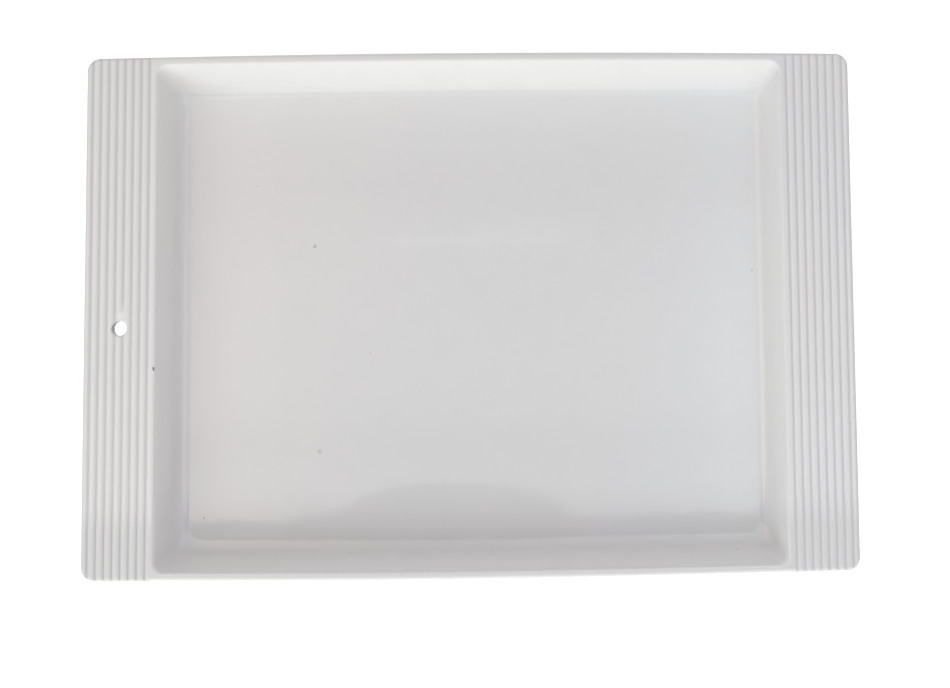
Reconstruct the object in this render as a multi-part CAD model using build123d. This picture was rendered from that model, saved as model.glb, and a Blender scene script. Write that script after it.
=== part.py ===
from build123d import *
import os
from math import acos, cos, pi, radians, sin, sqrt, tan

# A glazed ceramic developing tray for photographic sheets: a shallow basin with leaning walls,
# a narrow rim along its front and back, and a flat reeded wing at each end to lift it by.
# The tray is slip-cast and fired in one piece, so it is one solid.
#
# Millimetres. +X runs to the right wing, +Y to the back, +Z up. The hanging hole is in the left
# wing (-X). The origin is on the surface that the tray stands on, under its middle.

# --- driving dimensions ----------------------------------------------------------------------
basin_length = 300.0          # opening between the wings
end_width = 249.2             # front to back, over the outer ends of the wings
side_bow = 1.2                # how far each long side swells out along the basin
rim_width = 4.2               # top of the long walls
rim_height = 6.0              # outer edge of the long rims and of the wings

basin_depth = 25.0            # rim to floor
end_draft = 11.0              # degrees that the walls under the wings lean out from vertical
side_draft = 15.5             # degrees that the long walls lean out
wall_thickness = 4.2          # measured level
floor_thickness = 5.0
cove_radius = 6.5             # hollow curve from wall to floor
heel_radius = 9.0             # outer curve from wall to underside
corner_radius = 4.8           # basin corners at the rim, in plan
floor_corner_radius = 7.0     # basin corners at the floor, in plan

wing_width = 34.0
bead_width = 3.85             # pitch of the reeding, counted outwards from the basin
bead_land = 0.5               # flat crest of a bead
groove_depth = 0.9            # grooves between the beads
wing_corner_radius = 6.2      # outer corners of the wings, in plan

hole_diameter = 7.0           # hanging hole
hole_offset = 5.8             # hole to the middle of the wing, towards the front
hole_flare = 0.5              # softened mouths of the hole

top_edge_radius = 1.8         # outer edge of rim and wings, above
under_edge_bevel = 0.8        # outer edge of rim and wings, below
inner_edge_radius = 1.3       # rim to basin wall
web_radius = 1.2              # under the rim and wings, where the wall begins

foot_height = 2.5             # unglazed ring that the tray stands on
foot_width = 5.0
foot_inset = 4.0              # flat underside left outside the ring
foot_chamfer = 0.8

# --- derived sizes ---------------------------------------------------------------------------
groove_count = int((wing_width - top_edge_radius) // bead_width)
half_basin = basin_length / 2
half_length = half_basin + wing_width
side_radius = (half_basin**2 + side_bow**2) / (2 * side_bow)
wing_splay = half_basin / sqrt(side_radius**2 - half_basin**2)      # slope of a wing's sides
side_centre = end_width / 2 + wing_width * wing_splay + side_bow - side_radius

rim_z = foot_height + floor_thickness + basin_depth
rim_rounding = 0.45 * rim_width      # most of the rim that one rounded edge may take
end_lean = radians(end_draft)
side_lean = radians(side_draft)
under_depth = basin_depth + floor_thickness
curve_steps = 6                      # outlines that draw the curve from a wall to a floor


def outline(half_x, inset, radius, wing=0):
    """Plan outline at height zero: bowed long sides that run on straight along a wing."""
    bow = side_radius - inset
    end_y = side_centre + sqrt(bow**2 - half_x**2)
    tip_x = half_x + wing
    tip_y = end_y - wing * wing_splay
    points = [(half_x, end_y), (half_x, -end_y)]
    if wing:
        points[1:1] = [(tip_x, tip_y), (tip_x, -tip_y)]
    with BuildSketch() as sketch:
        with BuildLine():
            back = ThreePointArc((-half_x, end_y), (0, side_centre + bow), (half_x, end_y))
            mirror(back, Plane.XZ)
            end = Polyline(points)
            mirror(end, Plane.YZ)
        make_face()
        corners = [corner for corner in sketch.vertices() if abs(corner.X) > tip_x - radius]
        fillet(corners, radius)
    return sketch.sketch


def run_at(depth, bottom, radius, lean):
    """How far a leaning wall has run inwards at a depth, on its way round to a level bottom."""
    curve_top = bottom - radius * (1 - sin(lean))
    if depth <= curve_top:
        return depth * tan(lean)
    slope = acos(1 - (bottom - depth) / radius)
    return curve_top * tan(lean) + radius * (cos(lean) - sin(slope))


def bowl_outline(depth, bottom, radius, thickness, corner):
    """Outline of a bowl at a depth below the rim, a level thickness outside the basin's own."""
    end_run = run_at(depth, bottom, radius, end_lean) - thickness
    side_run = run_at(depth, bottom, radius, side_lean) - thickness
    return Pos(0, 0, rim_z - depth) * outline(half_basin - end_run, rim_width + side_run, corner)


def make_bowl(top, bottom, radius, thickness):
    """A basin's shape between two depths: leaning walls that curve onto a level bottom."""
    wall_corner = corner_radius + thickness
    floor_corner = floor_corner_radius + thickness
    curve = []
    for step in range(curve_steps + 1):
        share = step / curve_steps
        slope = (pi / 2 - min(end_lean, side_lean)) * (1 - share)
        depth = bottom - radius * (1 - cos(slope))
        corner = wall_corner + (floor_corner - wall_corner) * share
        curve.append(bowl_outline(depth, bottom, radius, thickness, corner))
    mouth = bowl_outline(top, bottom, radius, thickness, wall_corner)
    return loft([mouth, curve[0]], ruled=True) + loft(curve)


def make_cavity():
    """The basin's hollow."""
    return make_bowl(0, basin_depth, cove_radius, 0)


def make_flange():
    """The band that carries the rim and both wings, before the basin is hollowed out of it."""
    band = extrude(outline(half_basin, 0, wing_corner_radius, wing_width), rim_height)
    band = Pos(0, 0, rim_z - rim_height) * band
    band = fillet(band.faces().sort_by(Axis.Z)[-1].edges(), min(top_edge_radius, rim_rounding))
    return chamfer(band.faces().sort_by(Axis.Z)[0].edges(), under_edge_bevel)


def make_hull():
    """The outside of the basin, from inside the flange down to the underside."""
    return make_bowl(rim_height / 2, under_depth, heel_radius, wall_thickness)


def make_foot():
    """The ring under the base, inset from the flat that the heel leaves."""
    outside = wall_thickness - foot_inset
    corner = floor_corner_radius + outside
    plan = bowl_outline(under_depth, under_depth, heel_radius, outside, corner)
    ring = plan - offset(plan, amount=-foot_width, kind=Kind.INTERSECTION)
    foot = Pos(0, 0, -foot_height) * extrude(ring, foot_height + floor_thickness / 2)
    return chamfer(foot.faces().sort_by(Axis.Z)[0].edges(), foot_chamfer)


def make_grooves():
    """The grooves that leave the beads of the right wing standing, across its full depth."""
    reach = (bead_width - bead_land) / 2
    with BuildSketch(Plane.XZ) as profile:
        with BuildLine():
            shoulder = TangentArc((-reach, 0), (0, -groove_depth), tangent=(1, 0))
            mirror(shoulder, Plane.YZ)
            Line((-reach, 0), (reach, 0))
        make_face()
    groove = extrude(profile.sketch, end_width, both=True)
    places = [half_basin + bead_width * count for count in range(1, groove_count + 1)]
    return [Pos(x, 0, rim_z) * groove for x in places]


def make_hole():
    """The hanging hole's bore, with its softened mouths."""
    radius = hole_diameter / 2
    with BuildPart() as hole:
        Cylinder(radius, rim_height)
        with Locations((0, 0, (rim_height - hole_flare) / 2)):
            Cone(radius, radius + hole_flare, hole_flare)
        with Locations((0, 0, -(rim_height - hole_flare) / 2)):
            Cone(radius + hole_flare, radius, hole_flare)
    return Pos(-half_basin - wing_width / 2, -hole_offset, rim_z - rim_height / 2) * hole.part


def make_tray():
    """The whole tray: a solid block of the outside, hollowed, reeded and pierced."""
    tray = make_flange() + make_hull()
    under_rim = tray.faces().filter_by(Plane.XY).sort_by(Axis.Z)[-2]
    tray = fillet(under_rim.inner_wires()[0].edges(), web_radius)
    tray += make_foot()
    tray -= make_cavity()
    rim = tray.faces().filter_by(Plane.XY).sort_by(Axis.Z)[-1]
    tray = fillet(rim.inner_wires()[0].edges(), min(inner_edge_radius, rim_rounding))
    grooves = make_grooves()
    tray -= grooves
    tray -= [mirror(groove, Plane.YZ) for groove in grooves]
    return tray - make_hole()


os.makedirs("parts", exist_ok=True)
export_step(make_tray(), "parts/tray.step")
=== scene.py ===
from math import cos, pi, radians, sin, sqrt, tan

import bmesh
import bpy
import numpy as np
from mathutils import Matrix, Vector


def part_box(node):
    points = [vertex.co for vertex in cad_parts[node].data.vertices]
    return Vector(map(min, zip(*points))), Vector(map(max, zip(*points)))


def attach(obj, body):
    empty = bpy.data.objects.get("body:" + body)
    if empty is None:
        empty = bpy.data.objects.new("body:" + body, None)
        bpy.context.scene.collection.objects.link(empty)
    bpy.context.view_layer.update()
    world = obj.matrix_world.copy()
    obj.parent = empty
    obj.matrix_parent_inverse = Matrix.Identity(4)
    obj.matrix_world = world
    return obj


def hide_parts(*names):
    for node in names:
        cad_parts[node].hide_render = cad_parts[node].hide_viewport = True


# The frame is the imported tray. Its mesh is replaced by a finer one, which has what a glaze does to
# the same form: softened edges, pooled grooves and a little unevenness. Lengths are in millimetres
# until a mesh is made from them.
MM = 0.001
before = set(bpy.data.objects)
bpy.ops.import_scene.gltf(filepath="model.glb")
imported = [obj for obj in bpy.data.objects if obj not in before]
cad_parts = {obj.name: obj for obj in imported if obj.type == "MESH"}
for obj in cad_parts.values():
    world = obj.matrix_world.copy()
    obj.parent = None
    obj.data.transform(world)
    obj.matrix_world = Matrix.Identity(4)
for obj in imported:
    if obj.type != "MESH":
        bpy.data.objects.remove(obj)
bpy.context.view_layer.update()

# --- the tray's sizes --------------------------------------------------------------------------
HALF_LENGTH, MIDDLE_Y, RIM_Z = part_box("tray")[1] / MM
HALF_BASIN = 150.0
RIM_WIDTH = 4.2
RIM_HEIGHT = 6.0
SIDE_BOW = 1.2
BASIN_DEPTH = 25.0
FLOOR_THICKNESS = 5.0
UNDER_DEPTH = BASIN_DEPTH + FLOOR_THICKNESS
END_LEAN = radians(11)
SIDE_LEAN = radians(15.5)
WALL_THICKNESS = 4.2
COVE_RADIUS = 6.5
HEEL_RADIUS = 9.0
CORNER_RADIUS = 4.8
FLOOR_CORNER_RADIUS = 7.0
FOOT_HEIGHT = 2.5
FOOT_WIDTH = 5.0
FOOT_INSET = 4.0
WING_CORNER_RADIUS = 6.2
TOP_EDGE_RADIUS = 1.8
UNDER_EDGE_RADIUS = 1.0
INNER_EDGE_RADIUS = 1.3
WEB_RADIUS = 1.2
BEAD_WIDTH = 3.85
BEAD_LAND = 0.5
GROOVE_DEPTH = 0.9
GROOVE_COUNT = 8
HOLE = (-167.0, -5.8)
HOLE_RADIUS = 3.5

SIDE_RADIUS = (HALF_BASIN**2 + SIDE_BOW**2) / (2 * SIDE_BOW)
WING_SPLAY = HALF_BASIN / sqrt(SIDE_RADIUS**2 - HALF_BASIN**2)

# --- how the glaze lies ------------------------------------------------------------------------
GROOVE_POOL = 0.16           # half-width of the glaze that rounds a groove's bottom
RIGHT_GROOVE_SHADE = 0.65            # share of the painted groove shade that shows in the right wing's grooves
EDGE_BLEND = 0.35            # softness where a groove runs out over the edge
LEAST_BLEND = 0.01
HOLE_LIP = 0.9               # rounding of the hanging hole's mouths, above and below
HOLE_UNDER_LIP = 1.6
FOOT_PROFILE = ((0, 0.3, 0.8), (0, 0.7, 1))    # mm in from the ring's edge, share of its height
PUDDLE = (-166.1, -1.6)      # glaze that ran into a groove behind the hanging hole
PUDDLE_REACH = (2.3, 5.6)
PUDDLE_END = 1.35            # of its reach, where the puddle thins out to nothing
PUDDLE_SHORE = 0.45          # of its reach, over which it thins out
PUDDLE_FILL = 0.88           # share of the groove that it fills
CHIP = (-150.5, -25.3)       # small chip in the edge of the left wing
CHIP_RADIUS = 0.9
CHIP_DEPTH = 0.3
WAVES = (                    # slow unevenness of the basin: mm high, mm long in x and in y, phase
    (0.05, 61.0, 83.0, 0.4),
    (0.04, 43.0, -57.0, 2.1),
    (0.025, -29.0, 71.0, 4.4),
    (0.015, 23.0, 19.0, 1.2),
)
WAVES_START = 4              # mm in from the basin's rim, where the waves begin
WAVES_RAMP = 20              # mm more until they have their full height


def side(x):
    """Distance from the long axis to the outer edge of a long side."""
    x = np.abs(x)
    bowed = MIDDLE_Y - SIDE_RADIUS + np.sqrt(SIDE_RADIUS**2 - np.minimum(x, HALF_BASIN) ** 2)
    return bowed - np.maximum(x - HALF_BASIN, 0) * WING_SPLAY


def smooth_min(a, b, width):
    """The lower of two heights, blended where they are closer than width."""
    mix = np.clip(0.5 + (b - a) / (2 * width), 0, 1)
    return b * (1 - mix) + a * mix - width * mix * (1 - mix)


def run_at(depth, bottom, radius, lean):
    """How far a leaning wall has run inwards at a depth, on its way round to a level bottom."""
    curve_top = bottom - radius * (1 - sin(lean))
    slope = np.arccos(np.clip(1 - (bottom - depth) / radius, 0, 1))
    curved = curve_top * tan(lean) + radius * (cos(lean) - np.sin(slope))
    return np.where(depth <= curve_top, depth * tan(lean), curved)


def rounded_oblong(x, y, half_x, half_y, radius):
    """How far points are inside a rounded oblong, and how squarely they face its ends."""
    across, along = np.abs(x) - (half_x - radius), np.abs(y) - (half_y - radius)
    out_x, out_y = np.maximum(across, 0), np.maximum(along, 0)
    out = np.hypot(out_x, out_y)
    inside = radius - out - np.minimum(np.maximum(across, along), 0)
    facing = np.where(out > 0, (out_x / np.maximum(out, 1e-9)) ** 2, across > along)
    return inside, facing


def bowl(x, y, depth, bottom, radius, thickness):
    """How far points are inside a bowl's outline at a depth.

    The bowl is a level thickness outside the basin, and the basin itself where that is 0.
    """
    curve_top = bottom - radius * (1 - sin(END_LEAN))
    share = np.clip((depth - curve_top) / (bottom - curve_top), 0, 1)
    corner = CORNER_RADIUS + (FLOOR_CORNER_RADIUS - CORNER_RADIUS) * share + thickness
    half_x = HALF_BASIN + thickness - run_at(depth, bottom, radius, END_LEAN)
    half_y = side(x) - RIM_WIDTH + thickness - run_at(depth, bottom, radius, SIDE_LEAN)
    return rounded_oblong(x, y, half_x, half_y, corner)


LIP_SAMPLES = 24
HALVINGS = 36                # of the basin's depth, to find where a bowl's wall is under a point


def lip(distance, radius, lean):
    """Depth that rounding an edge takes off, across the edge between a level face and a wall."""
    turn = np.linspace(0, pi / 2 - lean, LIP_SAMPLES)
    along = radius * (np.sin(turn) - tan((pi / 2 - lean) / 2))
    depth = radius * (1 - np.cos(turn)) - np.maximum(along / tan(lean), 0)
    return np.interp(distance, along, depth)


def bowl_depth(x, y, top, bottom, radius, thickness, edge_radius):
    """Depth of a bowl's surface under each point, with its edge rounded where it begins."""
    above, below = np.full(x.shape, float(top)), np.full(x.shape, float(bottom))
    for _ in range(HALVINGS):
        middle = (above + below) / 2
        deeper = bowl(x, y, middle, bottom, radius, thickness)[0] > 0
        above, below = np.where(deeper, middle, above), np.where(deeper, below, middle)
    inside, facing = bowl(x, y, np.full(x.shape, float(top)), bottom, radius, thickness)
    taken = lip(inside, edge_radius, END_LEAN) * facing
    return above + taken + lip(inside, edge_radius, SIDE_LEAN) * (1 - facing)


def groove_depth(x):
    """Depth of the reeding under the crests, on both wings."""
    out = np.abs(x) - HALF_BASIN
    number = np.clip(np.round(out / BEAD_WIDTH), 1, GROOVE_COUNT)
    off = out - number * BEAD_WIDTH
    reach = (BEAD_WIDTH - BEAD_LAND) / 2
    bead_radius = (reach**2 + GROOVE_DEPTH**2) / (2 * GROOVE_DEPTH)
    pooled = np.sqrt(off**2 + GROOVE_POOL**2)
    rise = np.clip(reach - pooled, 0, None)
    return bead_radius - np.sqrt(bead_radius**2 - rise**2)


def reeding(x, y):
    """Height of the reeded wings, with the groove behind the hole filled by a puddle of glaze."""
    reach = np.hypot((x - PUDDLE[0]) / PUDDLE_REACH[0], (y - PUDDLE[1]) / PUDDLE_REACH[1])
    filled = PUDDLE_FILL * np.clip(PUDDLE_END - reach, 0, PUDDLE_SHORE) / PUDDLE_SHORE
    return RIM_Z - groove_depth(x) * (1 - filled)


def unevenness(x, y):
    """Slow waves of the glazed basin, which vanish towards its rim."""
    inside = bowl(x, y, np.zeros(x.shape), BASIN_DEPTH, COVE_RADIUS, 0)[0]
    waves = sum(high * np.sin(x / a + y / b + phase) for high, a, b, phase in WAVES)
    return waves * np.clip((inside - WAVES_START) / WAVES_RAMP, 0, 1)


def top_height(x, y):
    """Height of the upper surface inside its rounded outer edge."""
    depth = bowl_depth(x, y, 0, BASIN_DEPTH, COVE_RADIUS, 0, INNER_EDGE_RADIUS)
    chipped = CHIP_DEPTH * np.exp(-((x - CHIP[0]) ** 2 + (y - CHIP[1]) ** 2) / CHIP_RADIUS**2)
    return reeding(x, y) - depth + unevenness(x, y) - chipped


def under_height(x, y):
    """Height of the lower surface inside its rounded outer edge."""
    depth = bowl_depth(x, y, RIM_HEIGHT, UNDER_DEPTH, HEEL_RADIUS, WALL_THICKNESS, WEB_RADIUS)
    level = np.full(x.shape, UNDER_DEPTH)
    inside = bowl(x, y, level, UNDER_DEPTH, HEEL_RADIUS, WALL_THICKNESS - FOOT_INSET)[0]
    across = FOOT_WIDTH / 2 - np.abs(inside - FOOT_WIDTH / 2)
    return RIM_Z - depth - FOOT_HEIGHT * np.interp(across, *FOOT_PROFILE)


# --- mesh --------------------------------------------------------------------------------------
# Two sheets of quads on one grid, the upper and the under side, are joined round the outer edge
# and through the hanging hole.
FINE = BEAD_WIDTH / 8
COARSE = 4.4
MEDIUM_STEPS = 14            # steps of twice the fine size, before the fine ones
FINE_BAND = 54 * FINE        # how far in from the basin's edge the mesh stays fine
END_BAND = 6                 # mm before the wings' ends, where the grid moves out to the edge
HOLE_CUT = 7                 # grid steps from the hole's middle to the end of the block cut out
HOLE_REACH = 13              # grid steps from its middle to where the grid is straight again
TOP_STEPS, UNDER_STEPS = 7, 5      # loops that round an edge


def lines(fine_from, last):
    """Grid lines from the middle out to last: coarse, then finer from a given distance."""
    coarse = np.linspace(0, fine_from, int(round(fine_from / COARSE)) + 1)
    medium = fine_from + 2 * FINE * np.arange(1, MEDIUM_STEPS + 1)
    fine = np.arange(medium[-1] + FINE, last - FINE / 2, FINE)
    half = np.concatenate([coarse, medium, fine, [last]])
    return np.concatenate([-half[:0:-1], half])


edge_x = HALF_LENGTH - TOP_EDGE_RADIUS
edge_y = MIDDLE_Y - TOP_EDGE_RADIUS
columns = lines(HALF_BASIN - FINE_BAND, edge_x)
rows = lines(edge_y - FINE_BAND, edge_y)
near_hole = HOLE[1] + FINE * np.arange(-HOLE_REACH, HOLE_REACH + 1)
in_front, behind = rows[rows < near_hole[0] - FINE], rows[rows > near_hole[-1] + FINE]
rows = np.concatenate([in_front, near_hole, behind])
hole_column = np.argmin(np.abs(columns - HOLE[0]))
hole_row = np.argmin(np.abs(rows - HOLE[1]))


def plan(inset):
    """The grid of a sheet inset from the edge, laid out in plan, with rounded wing corners."""
    shift = (TOP_EDGE_RADIUS - inset) * np.clip((np.abs(columns) - edge_x) / END_BAND + 1, 0, 1)
    x, share = np.meshgrid(columns + np.sign(columns) * shift, rows / edge_y)
    limit = side(x) - inset
    y = share * limit
    radius = WING_CORNER_RADIUS - inset
    a = np.clip((np.abs(x) - (HALF_LENGTH - inset - radius)) / radius, 0, 1)
    b = np.clip((np.abs(y) - (limit - radius)) / radius, 0, 1)
    corner = (a > 0) & (b > 0)
    round_x = HALF_LENGTH - inset - radius * (1 - a * np.sqrt(1 - b * b / 2))
    round_y = limit - radius * (1 - b * np.sqrt(1 - a * a / 2))
    return np.where(corner, np.sign(x) * round_x, x), np.where(corner, np.sign(y) * round_y, y)


def hole_steps(shape):
    """Grid steps of every point from the hanging hole's middle, along the columns and rows."""
    j, i = np.indices(shape)
    return i - hole_column, j - hole_row


def open_hole(x, y, radius):
    """Draws the grid round the hanging hole back to a circle of a radius."""
    di, dj = hole_steps(x.shape)
    square = np.maximum(np.abs(di), np.abs(dj))
    share = np.clip((square - HOLE_CUT) / (HOLE_REACH - HOLE_CUT), 0, 1)
    a, b = di / np.maximum(square, 1), dj / np.maximum(square, 1)
    ring = (radius + (HOLE_REACH * FINE - radius) * share) * (1 - share)
    near = (square >= HOLE_CUT) & (square < HOLE_REACH)
    drawn_x = HOLE[0] + a * np.sqrt(1 - b * b / 2) * ring + share * (x - HOLE[0])
    drawn_y = HOLE[1] + b * np.sqrt(1 - a * a / 2) * ring + share * (y - HOLE[1])
    return np.where(near, drawn_x, x), np.where(near, drawn_y, y)


def loop(first_i, last_i, first_j, last_j):
    """Rows and columns of a block's rim, anticlockwise from its corner."""
    i = [*range(first_i, last_i), *[last_i] * (last_j - first_j)]
    i += [*range(last_i, first_i, -1), *[first_i] * (last_j - first_j)]
    j = [*[first_j] * (last_i - first_i), *range(first_j, last_j)]
    j += [*[last_j] * (last_i - first_i), *range(last_j, first_j, -1)]
    return np.array(j), np.array(i)


def edge_normals(x, y):
    """Outward directions in plan at points near the outer edge."""
    across = np.abs(x) - (HALF_LENGTH - WING_CORNER_RADIUS)
    along = np.abs(y) - (side(x) - WING_CORNER_RADIUS)
    corner = (across > 0) & (along > 0)
    length = np.maximum(np.hypot(across, along), 1e-9)
    end = (across > 0) & ~corner
    nx = np.where(corner, across / length, np.where(end, 1, 0))
    ny = np.where(corner, along / length, np.where(end, 0, 1))
    return nx * np.sign(x), ny * np.sign(y)


def hole_normals(x, y):
    """Directions in plan from points round the hanging hole to its middle."""
    angle = np.arctan2(y - HOLE[1], x - HOLE[0])
    return -np.cos(angle), -np.sin(angle)


points, faces = [], []


def add_points(x, y, z):
    """Adds points and returns their numbers, in the shape of x."""
    first = sum(len(block) for block in points)
    points.append(np.stack([np.ravel(x), np.ravel(y), np.ravel(z)], 1))
    return first + np.arange(np.size(x)).reshape(np.shape(x))


def add_quads(a, b, c, d):
    """Adds a quad for each four point numbers."""
    faces.append(np.stack([np.ravel(a), np.ravel(b), np.ravel(c), np.ravel(d)], 1))


def add_strip(a, b):
    """Adds quads between two closed loops of points."""
    add_quads(a, np.roll(a, -1), np.roll(b, -1), b)


def add_sheet(number, up):
    """Adds the quads of a grid sheet, without the block that the hole takes out."""
    di, dj = hole_steps(number.shape)
    cut = (di[:-1, :-1] >= -HOLE_CUT) & (di[:-1, :-1] < HOLE_CUT)
    cut &= (dj[:-1, :-1] >= -HOLE_CUT) & (dj[:-1, :-1] < HOLE_CUT)
    quad = number[:-1, :-1], number[:-1, 1:], number[1:, 1:], number[1:, :-1]
    corners = [corner[~cut] for corner in quad]
    add_quads(*(corners if up else corners[::-1]))


def round_edge(x, y, normals, radius, steps, upper):
    """Loops that turn a sheet's rim through a right angle, ending on the upright face."""
    loops = []
    for turn in np.linspace(0, pi / 2, steps + 1)[1:]:
        at_x = x + normals[0] * radius * sin(turn)
        at_y = y + normals[1] * radius * sin(turn)
        if upper:
            edge = RIM_Z - radius * (1 - cos(turn))
            z = smooth_min(edge, reeding(at_x, at_y), EDGE_BLEND * cos(turn) + LEAST_BLEND)
        else:
            z = np.full(at_x.shape, RIM_Z - RIM_HEIGHT + radius * (1 - cos(turn)))
        loops.append(add_points(at_x, at_y, z))
    return loops


def join_sheets(rim, normals, top_radius, under_radius, outward):
    """Joins the two sheets along one loop: the outer edge, or the wall of the hole."""
    top_rim, under_rim = (top_x[rim], top_y[rim]), (under_x[rim], under_y[rim])
    upper = round_edge(*top_rim, normals(*top_rim), top_radius, TOP_STEPS, True)
    lower = round_edge(*under_rim, normals(*under_rim), under_radius, UNDER_STEPS, False)
    loops = [top[rim], *upper, *lower[::-1], under[rim]]
    for above, below in zip(loops, loops[1:]):
        add_strip(*((below, above) if outward else (above, below)))


top_x, top_y = open_hole(*plan(TOP_EDGE_RADIUS), HOLE_RADIUS + HOLE_LIP)
under_x, under_y = open_hole(*plan(UNDER_EDGE_RADIUS), HOLE_RADIUS + HOLE_UNDER_LIP)
top = add_points(top_x, top_y, top_height(top_x, top_y))
under = add_points(under_x, under_y, under_height(under_x, under_y))
add_sheet(top, True)
add_sheet(under, False)
outer_rim = loop(0, len(columns) - 1, 0, len(rows) - 1)
join_sheets(outer_rim, edge_normals, TOP_EDGE_RADIUS, UNDER_EDGE_RADIUS, True)
hole_columns = hole_column - HOLE_CUT, hole_column + HOLE_CUT
hole_rim = loop(*hole_columns, hole_row - HOLE_CUT, hole_row + HOLE_CUT)
join_sheets(hole_rim, hole_normals, HOLE_LIP, HOLE_UNDER_LIP, False)


def add_object(name, data):
    """Makes an object from its data and puts it in the scene."""
    made = bpy.data.objects.new(name, data)
    bpy.context.scene.collection.objects.link(made)
    return made


mesh = bpy.data.meshes.new("glazed_tray")
quads = np.concatenate(faces)
mesh.from_pydata((np.concatenate(points) * MM).tolist(), [], quads.tolist())
mesh.polygons.foreach_set("use_smooth", np.ones(len(quads), bool))
glazed_tray = add_object("glazed_tray", mesh)

# The points inside the hole's block have no quads, so they go.
work = bmesh.new()
work.from_mesh(mesh)
loose = [point for point in work.verts if not point.link_faces]
bmesh.ops.delete(work, geom=loose, context="VERTS")
work.to_mesh(mesh)
work.free()
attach(glazed_tray, "root")
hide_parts("tray")

# --- glaze -------------------------------------------------------------------------------------
# Colours are linear. The texture coordinates are turned into millimetres, from the tray's origin.
WHITE = (0.795, 0.795, 0.787, 1)
THIN = (0.812, 0.809, 0.796, 1)        # where the glaze ran off the clay
POOLED = (0.66, 0.675, 0.67, 1)        # where it stands thick
POOL_AND_GROOVE_SHADE = (0.61, 0.61, 0.60, 1)      # pooled glaze and painted shade in the bottom of a groove
PUDDLE_HIGHLIGHT = (0.87, 0.88, 0.85, 1)           # painted highlight on the glaze puddle behind the hanging hole
SHADED = (0.36, 0.36, 0.35, 1)         # painted shade inside the hanging hole
IRON = (0.09, 0.075, 0.06, 1)
RUST = (0.45, 0.2, 0.12, 1)            # of the faintest flecks
BARE = (0.6, 0.54, 0.46, 1)            # the foot's clay
BARE_PALE = (0.68, 0.62, 0.54, 1)
GLOSS = (0.035, 0.065)                 # least and most roughness of the glaze
BARE_ROUGHNESS = 0.8
IOR = 1.5
FOOT_LINE = 1.1                        # height to which the foot is unglazed
FOOT_LINE_BLUR = 0.1
FOOT_LINE_WANDER = 0.3
SPECK_RAGGED = 0.25                    # how far a speck's edge wanders
SPECK_EDGE = (0.5, 1.2)                # of its radius, where a speck starts to fade and ends
MIDDLING = (0.3, 0.7)                  # most of a noise's values are between these
PEEL = {"Strength": 0.25, "Distance": 0.00003}
GRAIN_DISTANCE = 0.0001
SPECKS = (                             # place, radius, how strongly it shows, colour
    ((-79.1, 35.4, 7.5), 0.95, 0.36, IRON),
    ((-51.7, -18.0, 7.5), 0.6, 0.15, IRON),
    ((-132.9, -98.0, 7.7), 0.55, 0.5, IRON),
    ((127.8, -115.9, 13.2), 0.65, 0.35, IRON),
    ((138.8, 21.4, 7.5), 0.6, 0.34, IRON),
    ((-107.9, 66.0, 7.5), 0.55, 0.14, IRON),
    ((64.5, 41.2, 7.5), 0.5, 0.18, IRON),
    ((-76.5, -66.3, 7.5), 1.2, 0.2, IRON),
    # Painted highlight on the glaze puddle behind the hanging hole.
    ((-166.3, 0.1, RIM_Z), 1.5, 0.9, PUDDLE_HIGHLIGHT),
    ((-166.0, 1.6, RIM_Z), 0.8, 0.7, PUDDLE_HIGHLIGHT),
    ((CHIP[0], CHIP[1] + 0.4, RIM_Z - 0.2), 0.45, 0.85, IRON),
    ((CHIP[0], CHIP[1] - 0.4, RIM_Z - 0.2), 0.4, 0.75, IRON),
)

# "pooled" goes from 0 on the open glaze to 1 in a groove's bottom, where it greys the glaze with
# pooled glaze and painted shade, and marks the bore of the hole for painted shade there.
IN_BORE = 2
BORE_MARGIN = 0.3            # beyond the hole's radius
BORE_START = 0.7             # below the rim
WING_START = HALF_BASIN + 1
WING_FLOOR = RIM_Z - 1.3 * GROOVE_DEPTH
flat = np.empty(3 * len(mesh.vertices))
mesh.vertices.foreach_get("co", flat)
at_x, at_y, at_z = (flat.reshape(-1, 3) / MM).T
on_wing = (np.abs(at_x) > WING_START) & (at_z > WING_FLOOR)
near_bore = np.hypot(at_x - HOLE[0], at_y - HOLE[1]) < HOLE_RADIUS + BORE_MARGIN
pooled = np.where(on_wing, np.clip((RIM_Z - at_z) / GROOVE_DEPTH, 0, 1), 0)
# The right wing gets less of the painted groove shade than the left.
pooled *= np.where(at_x > 0, RIGHT_GROOVE_SHADE, 1)
pooled = np.where(near_bore & (at_z < RIM_Z - BORE_START), IN_BORE, pooled)
mesh.attributes.new("pooled", "FLOAT", "POINT").data.foreach_set("value", pooled)


def add_material(name, data):
    """Makes a node material, gives it to a mesh, and returns its node tree."""
    material = bpy.data.materials.new(name)
    material.use_nodes = True
    data.materials.append(material)
    return material.node_tree


def add_node(tree, kind, inputs=(), **settings):
    """Adds a node, sets its properties, and feeds its inputs a value or another node's output."""
    node = tree.nodes.new("ShaderNode" + kind)
    for name, value in settings.items():
        setattr(node, name, value)
    for place, value in dict(inputs).items():
        if isinstance(value, bpy.types.NodeSocket):
            tree.links.new(value, node.inputs[place])
        else:
            node.inputs[place].default_value = value
    return node


glaze = add_material("white_glaze", mesh)
shader = glaze.nodes["Principled BSDF"]
shader.inputs["IOR"].default_value = IOR


def noise(scale, detail):
    """Noise over the tray, with a scale in lumps per millimetre."""
    inputs = {"Vector": place_mm, "Scale": scale, "Detail": detail}
    return add_node(glaze, "TexNoise", inputs).outputs["Fac"]


def remap(value, low, high, to_low, to_high):
    """A value between low and high, carried over to between to_low and to_high."""
    inputs = {0: value, 1: low, 2: high, 3: to_low, 4: to_high}
    return add_node(glaze, "MapRange", inputs).outputs[0]


def combine(operation, first, second):
    """Two values put together by a Math node."""
    return add_node(glaze, "Math", {0: first, 1: second}, operation=operation).outputs[0]


def blend(share, first, second):
    """The first colour, with a share of the second."""
    return add_node(glaze, "Mix", {0: share, 6: first, 7: second}, data_type="RGBA").outputs[2]


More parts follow.
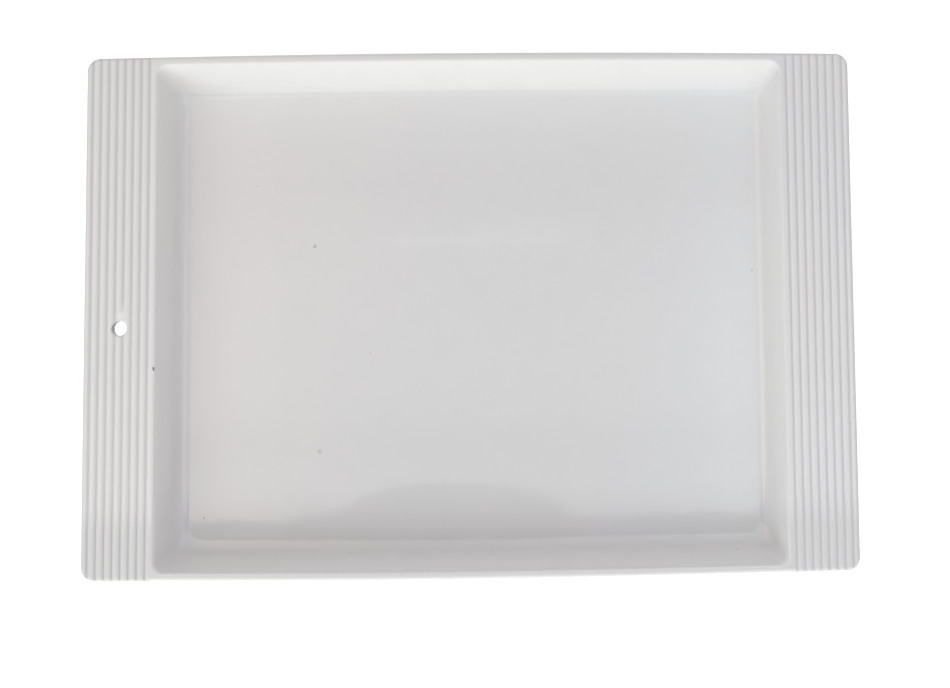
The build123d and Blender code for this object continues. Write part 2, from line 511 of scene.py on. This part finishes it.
object_place = add_node(glaze, "TexCoord").outputs["Object"]
to_mm = {0: object_place, 1: (1 / MM, 1 / MM, 1 / MM)}
place_mm = add_node(glaze, "VectorMath", to_mm, operation="MULTIPLY").outputs[0]
height = add_node(glaze, "SeparateXYZ", {0: place_mm}).outputs[2]

broad = noise(0.011, 3)
fine = noise(0.35, 4)
colour = blend(remap(broad, 0.35, 0.65, 0, 0.75), WHITE, THIN)
colour = blend(remap(noise(0.09, 3), 0.45, 0.75, 0, 0.08), colour, POOLED)
pool_and_shade_mask = add_node(glaze, "Attribute", attribute_name="pooled").outputs["Fac"]
# Pooled glaze and painted shade grey the bottoms of the grooves.
colour = blend(remap(pool_and_shade_mask, 0.1, 0.8, 0, 1), colour, POOL_AND_GROOVE_SHADE)
# Painted shade darkens the bore of the hanging hole.
colour = blend(remap(pool_and_shade_mask, 1.2, IN_BORE, 0, 1), colour, SHADED)

# Pinhole flecks of iron: one cell in a dozen has one, faint and well under a millimetre.
cells = add_node(glaze, "TexVoronoi", {"Vector": place_mm, "Scale": 0.07})
cell_value = add_node(glaze, "SeparateColor", {0: cells.outputs["Color"]}).outputs[0]
near_middle = remap(cells.outputs["Distance"], 0.012, 0.03, 1, 0)
fleck = combine("MULTIPLY", near_middle, remap(cell_value, 0.9, 0.93, 0, 0.4))
colour = blend(fleck, colour, RUST)

for place, radius, strength, tint in SPECKS:
    away = add_node(glaze, "VectorMath", {0: place_mm, 1: place}, operation="DISTANCE")
    wander = remap(fine, *MIDDLING, -SPECK_RAGGED, SPECK_RAGGED)
    ragged = combine("ADD", wander, away.outputs["Value"])
    fade_from, fade_to = (radius * share for share in SPECK_EDGE)
    colour = blend(remap(ragged, fade_from, fade_to, strength, 0), colour, tint)

foot_wander = remap(fine, *MIDDLING, -FOOT_LINE_WANDER, FOOT_LINE_WANDER)
foot_edge = combine("ADD", height, foot_wander)
unglazed = remap(foot_edge, FOOT_LINE - FOOT_LINE_BLUR, FOOT_LINE + FOOT_LINE_BLUR, 1, 0)
clay = blend(remap(noise(0.8, 5), *MIDDLING, 0, 1), BARE, BARE_PALE)
glaze.links.new(blend(unglazed, colour, clay), shader.inputs["Base Color"])

gloss = remap(noise(0.03, 3), *MIDDLING, *GLOSS)
roughness = add_node(glaze, "Mix", {0: unglazed, 2: gloss, 3: BARE_ROUGHNESS}, data_type="FLOAT")
glaze.links.new(roughness.outputs[0], shader.inputs["Roughness"])

# Glaze has a faint orange peel, and the bare foot a grain.
peel = add_node(glaze, "Bump", {**PEEL, "Height": noise(0.22, 2)}).outputs[0]
grain_inputs = {"Strength": unglazed, "Distance": GRAIN_DISTANCE, "Height": noise(2.5, 4)}
grain = add_node(glaze, "Bump", {**grain_inputs, "Normal": peel}).outputs[0]
glaze.links.new(grain, shader.inputs["Normal"])

# --- camera ------------------------------------------------------------------------------------
PICTURE_WIDTH = 950          # pixels, for the lens and the shift
LENS_PIXELS = 1288.3
SHIFT_PIXELS = (-107.5, -34.0)
SENSOR = 36.0
CAMERA_PLACE = (0.0419, -0.0408, 0.6475)
CAMERA_TURN = (3.86, -1.02, -0.676)            # degrees
camera_data = bpy.data.cameras.new("camera")
camera = add_object("camera", camera_data)
bpy.context.scene.camera = camera
camera.location = CAMERA_PLACE
camera.rotation_euler = [radians(angle) for angle in CAMERA_TURN]
camera_data.sensor_width = SENSOR
camera_data.lens = LENS_PIXELS * SENSOR / PICTURE_WIDTH
camera_data.shift_x = SHIFT_PIXELS[0] / PICTURE_WIDTH
camera_data.shift_y = SHIFT_PIXELS[1] / PICTURE_WIDTH
camera_data.clip_start = 0.05
camera_data.clip_end = 20


# --- floor -------------------------------------------------------------------------------------
def seen_directly(tree):
    """1 where the camera or a reflection sees a surface, and 0 where it only lights others."""
    path = add_node(tree, "LightPath").outputs
    seen = path["Is Camera Ray"]
    for kind in ("Is Glossy Ray", "Is Transmission Ray"):
        seen = add_node(tree, "Math", {0: seen, 1: path[kind]}, operation="MAXIMUM").outputs[0]
    return seen


FLOOR_HALF = 20.0
FLOOR_Z = -0.0003            # a little under the foot, so that the two faces don't coincide
PAPER = (0.8, 0.8, 0.8, 1)
PAPER_ROUGHNESS = 0.9
PAPER_GLOW = 0.66            # lifts the white paper to plain white where nothing shades it
floor_mesh = bpy.data.meshes.new("floor")
signs = ((-1, -1), (1, -1), (1, 1), (-1, 1))
floor_corners = [(x * FLOOR_HALF, y * FLOOR_HALF, FLOOR_Z) for x, y in signs]
floor_mesh.from_pydata(floor_corners, [], [(0, 1, 2, 3)])
floor = add_object("floor", floor_mesh)
paper = add_material("paper", floor_mesh)
matte = paper.nodes["Principled BSDF"]
matte.inputs["Base Color"].default_value = PAPER
matte.inputs["Roughness"].default_value = PAPER_ROUGHNESS
matte.inputs["Specular IOR Level"].default_value = 0
glow_share = {0: seen_directly(paper), 1: PAPER_GLOW}
glow_strength = add_node(paper, "Math", glow_share, operation="MULTIPLY").outputs[0]
glow = add_node(paper, "Emission", {"Strength": glow_strength}).outputs[0]
both = add_node(paper, "AddShader", {0: matte.outputs[0], 1: glow}).outputs[0]
paper.links.new(both, paper.nodes["Material Output"].inputs["Surface"])


# --- what the glaze reflects -------------------------------------------------------------------
def reflected_card(name, x, y, z, colour_at, steps=(1, 1), rounding=0):
    """A card overhead that only reflections see, with a colour for each of its points.

    Rounding goes from 0, an oblong, to 1, an ellipse.
    """
    u, v = np.meshgrid(np.linspace(-1, 1, steps[0] + 1), np.linspace(-1, 1, steps[1] + 1))
    round_u, round_v = u * np.sqrt(1 - rounding * v**2 / 2), v * np.sqrt(1 - rounding * u**2 / 2)
    grid_x = ((x[0] + x[1]) / 2 + (x[1] - x[0]) / 2 * round_u).ravel()
    grid_y = ((y[0] + y[1]) / 2 + (y[1] - y[0]) / 2 * round_v).ravel()
    number = np.arange(len(grid_x)).reshape(steps[1] + 1, steps[0] + 1)
    quad = number[:-1, :-1], number[1:, :-1], number[1:, 1:], number[:-1, 1:]
    card_quads = np.stack([corner.ravel() for corner in quad], 1)
    card_points = np.stack([grid_x, grid_y, np.full(len(grid_x), z)], 1)
    card_mesh = bpy.data.meshes.new(name)
    card_mesh.from_pydata(card_points.tolist(), [], card_quads.tolist())
    shades = np.ones((len(grid_x), 4))
    shades[:, :3] = colour_at(grid_x, grid_y)
    shade_layer = card_mesh.attributes.new("shade", "FLOAT_COLOR", "POINT")
    shade_layer.data.foreach_set("color", shades.ravel())
    card = add_object(name, card_mesh)
    for kind in ("camera", "diffuse", "transmission", "volume_scatter", "shadow"):
        setattr(card, "visible_" + kind, False)
    card_mesh.materials.append(card_light)


card_light = bpy.data.materials.new("card_light")
card_light.use_nodes = True
card_tree = card_light.node_tree
shade = add_node(card_tree, "Attribute", attribute_name="shade").outputs["Color"]
emission = add_node(card_tree, "Emission", {"Color": shade}).outputs[0]
card_tree.links.new(emission, card_tree.nodes["Material Output"].inputs["Surface"])

WARM, PLAIN, COOL = np.array([(1, 0.92, 0.84), (1, 0.99, 1), (0.86, 0.95, 1.05)])
WARM_GLOW, PLAIN_GLOW, COOL_GLOW = 2.3, 1.5, 1.7
FRONT_GLOW = 0.9                               # more, towards the front, on either side
WARM_END, COOL_END, FRONT_END = -0.27, 0.12, 0.08        # metres from the middle
WARM_BLUR, COOL_BLUR, FRONT_BLUR = 0.06, 0.05, 0.09


def soft_step(falling, width):
    """1 well below nothing and 0 well above it, with a soft step between."""
    return 1 / (1 + np.exp(falling / width))


def ceiling(x, y):
    """Pale overhead, warm on the left and cool on the right, and brighter towards the front."""
    left, right = soft_step(x - WARM_END, WARM_BLUR), soft_step(COOL_END - x, COOL_BLUR)
    more = FRONT_GLOW * soft_step(y - FRONT_END, FRONT_BLUR)
    warm, cool = left * (WARM_GLOW + more), right * (COOL_GLOW + more)
    shares = (warm, (1 - left - right) * PLAIN_GLOW, cool)
    return sum(share[:, None] * tint for share, tint in zip(shares, (WARM, PLAIN, COOL)))


def even(red, green, blue):
    """The same colour at every point of a card."""
    return lambda x, y: np.tile((red, green, blue), (len(x), 1))


CARD_HEIGHT = 0.8
CARD_LAYER = 0.001           # a card that covers a part of another hangs this much lower
HIGH_CARD, LOW_CARD = CARD_HEIGHT - CARD_LAYER, CARD_HEIGHT - 2 * CARD_LAYER
CARDS = (                    # name, reach in x and in y, height, colour, steps, rounding
    ("ceiling_card", (-1.1, 0.9), (-0.172, 0.9), CARD_HEIGHT, ceiling, (50, 27)),
    ("front_card", (-1.1, 0.9), (-0.7, -0.172), CARD_HEIGHT, even(0.36, 0.38, 0.5)),
    ("camera_card", (-0.262, 0.064), (-0.2, -0.165), LOW_CARD, even(0, 0, 0.03), (12, 6), 0.5),
    ("dark_card", (-0.2, 0.046), (-0.205, -0.134), HIGH_CARD, even(0.3, 0.3, 0.36), (16, 8), 1),
    ("strip_card", (-0.164, 0.05), (0.13, 0.14), LOW_CARD, even(2.4, 2.4, 2.4)),
    ("low_strip_card", (-0.06, 0.09), (0.146, 0.153), LOW_CARD, even(2.0, 2.0, 2.1)),
)
for card_row in CARDS:
    reflected_card(*card_row)

# --- lamps and world ---------------------------------------------------------------------------
# The lamps stand on rings round the tray. Bearing 0 is in front and 90 to the right, in degrees.
FAR, NEAR = 1.6, 0.9         # metres from the tray's middle
PANEL, WIDE_PANEL = (1.3, 0.55), (1.9, 1.2)
SEEN_ABOVE = 40              # degrees: lower lamps are pale walls, without a sharp reflection
LAMPS = (                    # name, bearing, height in degrees, power, colour, distance, size
    ("front_high", 0, 52, 7.3, (0.885, 0.96, 1.0), FAR, WIDE_PANEL),
    ("front_low", 0, 12, 10.8, (1.0, 0.985, 0.95), FAR, PANEL),
    ("front_left", 315, 32, 5.14, (0.883, 1.0, 0.979), FAR, PANEL),
    ("left_low", 270, 12, 3.6, (0.72, 0.85, 1.0), FAR, PANEL),
    ("right_low", 90, 12, 1.4, (1.0, 0.72, 0.55), FAR, PANEL),
    ("right_high", 90, 55, 0.8, (0.6, 0.82, 1.0), NEAR, PANEL),
    ("left_high", 270, 55, 0.5, (1.0, 0.8, 0.58), NEAR, PANEL),
    ("back_low", 180, 12, 5.96, (0.916, 0.97, 1.0), FAR, PANEL),
)
SKY = (1, 0.88, 0.89, 1)
SKY_STRENGTH = 0.355
BACKDROP = (1, 1, 1, 1)

for name, bearing, rise, power, tint, distance, size in LAMPS:
    data = bpy.data.lights.new(name, "AREA")
    data.shape = "RECTANGLE"
    data.size, data.size_y = size
    data.energy = power
    data.color = tint
    lamp = add_object(name, data)
    turn, lift = radians(bearing), radians(rise)
    towards = Vector((sin(turn) * cos(lift), -cos(turn) * cos(lift), sin(lift)))
    lamp.location = towards * distance
    lamp.rotation_euler = towards.to_track_quat("Z", "Y").to_euler()
    lamp.visible_glossy = rise > SEEN_ABOVE

# The room lights the tray softly, and is plain white to the camera and in reflections.
world = bpy.data.worlds.new("studio")
bpy.context.scene.world = world
world.use_nodes = True
sky_tree = world.node_tree
sky = sky_tree.nodes["Background"]
sky.inputs["Color"].default_value = SKY
sky.inputs["Strength"].default_value = SKY_STRENGTH
backdrop = add_node(sky_tree, "Background", {"Color": BACKDROP}).outputs[0]
shown_inputs = {0: seen_directly(sky_tree), 1: sky.outputs[0], 2: backdrop}
shown_sky = add_node(sky_tree, "MixShader", shown_inputs).outputs[0]
sky_tree.links.new(shown_sky, sky_tree.nodes["World Output"].inputs["Surface"])

bpy.context.scene.view_settings.view_transform = "Standard"
